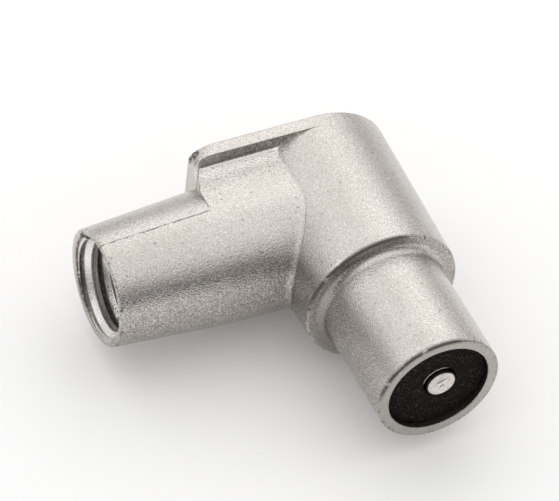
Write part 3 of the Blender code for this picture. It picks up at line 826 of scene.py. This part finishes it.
    def painted_underside_shade(self):
        """Painted shade: darker grains where the casting's round sides face sideways or down."""
        g = self.g
        facing_up = g.split(g.add("ShaderNodeNewGeometry").outputs["Normal"])[2]
        off_flange_end = g.largest(g.fade(self.y, 3.0, 1.0), g.fade(self.x, -8.5, -7.5))
        return g.product(g.ramp(facing_up, 0.6, 0.1), off_flange_end, g.ramp(self.rim_face(), 1.0, 0.0),
                         g.ramp(self.grain, 0.36, 0.62))


def cast_nickel():
    """Satin nickel on a blasted zinc casting: coarse grain, worn edges, painted highlights on edges and
    fillets, and painted shade on downward sides, in hollows and along the parting line.
    """
    material, g, surface = new_surface("satin_cast_nickel", 1.0)
    marks = CastingMarks(g)
    swell, mottle, grain = marks.swell, marks.mottle, marks.grain
    # painted shade and painted highlight masks inside the arm's thread
    thread_painted_shade, thread_painted_highlight = marks.thread()
    chips = marks.chips()
    # Dark marks: worn edges and chips, the marks at the mouth and the flange's end, and painted shade in
    # the thread's roots, on the nose's inner wall and along the parting seam
    wear_and_shade = g.largest(marks.worn_edge(NOSE_REACH - 0.04, NOSE_RADIUS, 0.38),
                     marks.worn_edge(SHOULDER_REACH - 0.04, SHOULDER_RADIUS, 0.36),
                     marks.mouth_edge_marks(), thread_painted_shade, marks.flange_end_marks(), chips, marks.inside_nose(),
                     marks.seam())
    pits = g.ramp(g.noise(marks.place, 3.6, 2.0, 0.4), 0.66, 0.74)
    clouds = g.noise(marks.place, 0.25, 3.0)

    colour = g.mix(g.ramp(clouds, 0.35, 0.65), NICKEL_DEEP, NICKEL_PALE)
    for mask, tone in ((g.ramp(mottle, 0.45, 0.75, 0.0, 0.15), NICKEL_MOTTLE),
                       (g.ramp(grain, 0.45, 0.72, 0.0, 0.55), GRAIN_DARK),
                       (g.ramp(grain, 0.45, 0.28, 0.0, 0.5), GRAIN_LIGHT),
                       # painted shade in the grains on sides that face sideways or down
                       (g.product(marks.painted_underside_shade(), 0.85), PAINTED_UNDERSIDE_SHADE),
                       # painted highlights on edges, fillets and the thread's flanks
                       (g.product(g.largest(marks.painted_highlights(), thread_painted_highlight), 0.8), PAINTED_HIGHLIGHT),
                       # painted grey shade on the nose's rim and the fillet at the left of its root
                       (marks.painted_grey_shade(), PAINTED_GREY_SHADE),
                       (g.product(pits, 0.5), PIT),
                       # dark colour for worn edges and chips, and for painted shade in the thread, inside
                       # the nose and along the seam
                       (g.product(wear_and_shade, 0.92), WEAR_AND_SHADE_DARK),
                       (chips, CHIPPED)):
        colour = g.mix(mask, colour, tone)
    g.feed(surface["Base Color"], colour)
    g.feed(surface["Roughness"], g.math('ADD', g.ramp(mottle, 0.3, 0.75, 0.17, 0.26), g.product(wear_and_shade, 0.2)))
    g.feed(surface["Normal"], g.bump(grain, 0.036, g.bump(mottle, 0.006, g.bump(swell, 0.02))))
    return material


def black_moulding():
    """Nearly black plastic with a fine speckle and dust, and a painted highlight arc on the hole's upper
    left edge.
    """
    material, g, surface = new_surface("black_moulding", 0.0)
    place = g.local_place()
    x, y, z = g.split(place)
    fine = g.noise(place, 6.0, 3.0, 0.65)
    broad = g.noise(place, 0.8, 3.0)
    dust = g.ramp(g.noise(place, 5.5, 2.0, 0.5), 0.56, 0.68)
    colour = g.mix(broad, (0.001, 0.001, 0.001, 1), (0.004, 0.003, 0.003, 1))
    colour = g.mix(g.ramp(g.noise(place, 7.0, 1.0, 0.5), 0.45, 0.65), colour, (0.02, 0.016, 0.014, 1))
    colour = g.mix(g.product(dust, 0.5), colour, (0.075, 0.062, 0.053, 1))
    # painted highlight on the upper left edge of the pin's hole
    hole_edge = g.near_ring(y, g.math('SUBTRACT', x, PIN_OFF_CENTRE[0] * MM),
                            g.math('SUBTRACT', z, PIN_OFF_CENTRE[1] * MM), INSULATOR_RECESS - NOSE_REACH,
                            PIN_RADIUS + FIT_GAP + COUNTERBORE_WIDTH + 0.03, 0.13)
    lit_side = g.product(g.fade(x, 1.0, 0.3), g.fade(z, 0.2, 0.8))
    colour = g.mix(g.product(hole_edge, lit_side), colour, (0.8, 0.75, 0.71, 1))
    g.feed(surface["Base Color"], colour)
    g.feed(surface["Roughness"], g.ramp(fine, 0.3, 0.7, 0.55, 0.75))
    surface["Specular IOR Level"].default_value = 0.07
    g.feed(surface["Normal"], g.bump(fine, 0.04))
    return material


def turned_nickel():
    """Turned nickel with faint rings, small marks on the pin's end and painted shade on the flank beside
    it.
    """
    material, g, surface = new_surface("turned_nickel", 1.0)
    place = g.local_place()
    x, y, z = g.split(place)
    out = g.length(g.math('SUBTRACT', x, PIN_OFF_CENTRE[0] * MM),
                   g.math('SUBTRACT', z, PIN_OFF_CENTRE[1] * MM))
    rings = g.math('SINE', g.product(out, 45.0 / MM))
    fine = g.noise(place, 6.0, 4.0, 0.65)
    colour = g.mix(g.ramp(fine, 0.35, 0.7), (0.8, 0.75, 0.71, 1), (0.56, 0.51, 0.475, 1))

    def stroke(start, end, width=0.1):
        """Mark on the pin's end between two points across and up from its middle."""
        ends = [(PIN_OFF_CENTRE[0] + across, PIN_RECESS - NOSE_REACH, PIN_OFF_CENTRE[1] + up)
                for across, up in (start, end)]
        return g.near_line(place, *ends, width)

    dark_marks = g.largest(stroke((-0.35, 0.18), (0.13, 0.35)), stroke((-0.07, -0.3), (0.14, -0.15)))
    colour = g.mix(dark_marks, colour, WEAR_AND_SHADE_DARK)
    colour = g.mix(stroke((-0.18, -0.07), (0.35, 0.19)), colour, (0.98, 0.96, 0.94, 1))
    # painted shade on the pin's flank near its tip
    flank = g.product(g.fade(out, PIN_RADIUS - PIN_CHAMFER, PIN_RADIUS - 0.07), g.fade(y, -12.0, -14.0))
    colour = g.mix(flank, colour, (0.035, 0.031, 0.028, 1))
    g.feed(surface["Base Color"], colour)
    g.feed(surface["Roughness"], g.ramp(fine, 0.3, 0.7, 0.28, 0.44))
    g.feed(surface["Normal"], g.bump(fine, 0.02, g.bump(rings, 0.001)))
    return material


def plated_steel(name, light, dark, low, high):
    """Plated steel with faint rolling or machining marks along one direction."""
    material, g, surface = new_surface(name, 1.0)
    place = g.local_place()
    stretched = g.add("ShaderNodeMapping", {"Vector": place, "Scale": (0.1, 1.0, 1.0)}).outputs[0]
    lines = g.noise(stretched, 7.0, 4.0, 0.6)
    spots = g.noise(place, 0.5, 5.0, 0.7)
    colour = g.mix(g.ramp(spots, 0.35, 0.7, 0.0, 0.6), light, dark)
    colour = g.mix(g.ramp(lines, 0.5, 0.7, 0.0, 0.5), colour, dark)
    specks = g.ramp(g.noise(place, 3.0, 3.0, 0.6), 0.66, 0.74)
    g.feed(surface["Base Color"], g.mix(g.product(specks, 0.5), colour, (0.25, 0.23, 0.21, 1)))
    g.feed(surface["Roughness"], g.ramp(lines, 0.3, 0.7, low, high))
    g.feed(surface["Normal"], g.bump(lines, 0.01))
    return material


def make_floor():
    """Pale floor, lit to nearly white, that keeps the plug's shadow."""
    builder = bmesh.new()
    bmesh.ops.create_grid(builder, x_segments=8, y_segments=8, size=1.5)
    floor = to_object("floor", builder)
    material, g, surface = new_surface("pale_floor", 0.0)
    surface["Base Color"].default_value = (0.9, 0.9, 0.9, 1)
    surface["Roughness"].default_value = 0.9
    surface["Specular IOR Level"].default_value = 0.0
    surface["Emission Color"].default_value = (1, 1, 1, 1)
    rays = g.add("ShaderNodeLightPath").outputs
    seen = g.largest(rays["Is Camera Ray"], rays["Is Glossy Ray"], rays["Is Transmission Ray"])
    g.feed(surface["Emission Strength"], g.product(seen, FLOOR_GLOW))
    floor.data.materials.append(material)


def make_world():
    """Soft studio dome: bright overhead, behind and right of the plug, dim on the camera's side."""
    world = bpy.data.worlds.new("studio")
    bpy.context.scene.world = world
    g = Graph(world)
    ray = g.add("ShaderNodeTexCoord").outputs["Generated"]
    across, _, height = g.split(ray)
    turn = math.radians(BACK_TURN)
    behind = g.vector('DOT_PRODUCT', ray, (math.sin(turn), math.cos(turn), 0.0)).outputs["Value"]
    back = g.product(g.ramp(behind, -0.05, 0.5), g.ramp(height, *BACK_RISE))
    right = g.product(g.ramp(across, 0.5, 0.9), g.ramp(height, *RIGHT_RISE), RIGHT_LEVEL)
    window = g.vector('DOT_PRODUCT', ray, Vector(WINDOW).normalized()).outputs["Value"]
    lit = g.math('ADD', g.largest(g.ramp(height, *TOP_RISE), back, right),
                 g.ramp(window, 0.88, 1.0, 0.0, WINDOW_LEVEL))
    level = g.math('ADD', lit, g.ramp(behind, 0.1, -0.5, DIM_LEVEL, FRONT_DIM_LEVEL))
    background = g.nodes["Background"].inputs
    background["Color"].default_value = DAYLIGHT
    g.feed(background["Strength"], level)


def make_camera():
    """The photograph's camera, fitted to the outlines of nose, barrel and arm."""
    right = Vector((0.90574284, -0.41552545, 0.08347758))
    down = Vector((-0.25079415, -0.6842386, -0.68477721))
    forward = Vector((0.34166094, 0.59929637, -0.72395557))
    place = (Vector((-153.30014249, -261.11688924, 314.02177052)) + AXES_CROSS) * MM
    camera = bpy.data.cameras.new("photo_camera")
    camera.sensor_fit = 'HORIZONTAL'
    camera.sensor_width = 36.0
    camera.lens = 382.95
    camera.clip_start = 0.01
    item = bpy.data.objects.new("photo_camera", camera)
    bpy.context.scene.collection.objects.link(item)
    turn = Matrix((right, -down, -forward)).transposed()
    item.matrix_world = Matrix.Translation(place) @ turn.to_4x4()
    bpy.context.scene.camera = item


def main():
    for item in list(bpy.data.objects):
        bpy.data.objects.remove(item, do_unlink=True)
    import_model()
    make_camera()
    make_casting(cast_nickel())
    make_insulator(black_moulding())
    make_contact(turned_nickel())
    make_screw(plated_steel("zinc_plate", (0.6, 0.6, 0.61, 1), (0.46, 0.46, 0.47, 1), 0.24, 0.4))
    make_cover(plated_steel("nickel_sheet", (0.66, 0.62, 0.59, 1), (0.56, 0.52, 0.495, 1), 0.26, 0.42))
    make_floor()
    make_world()
    bpy.context.scene.view_settings.view_transform = 'Standard'


main()
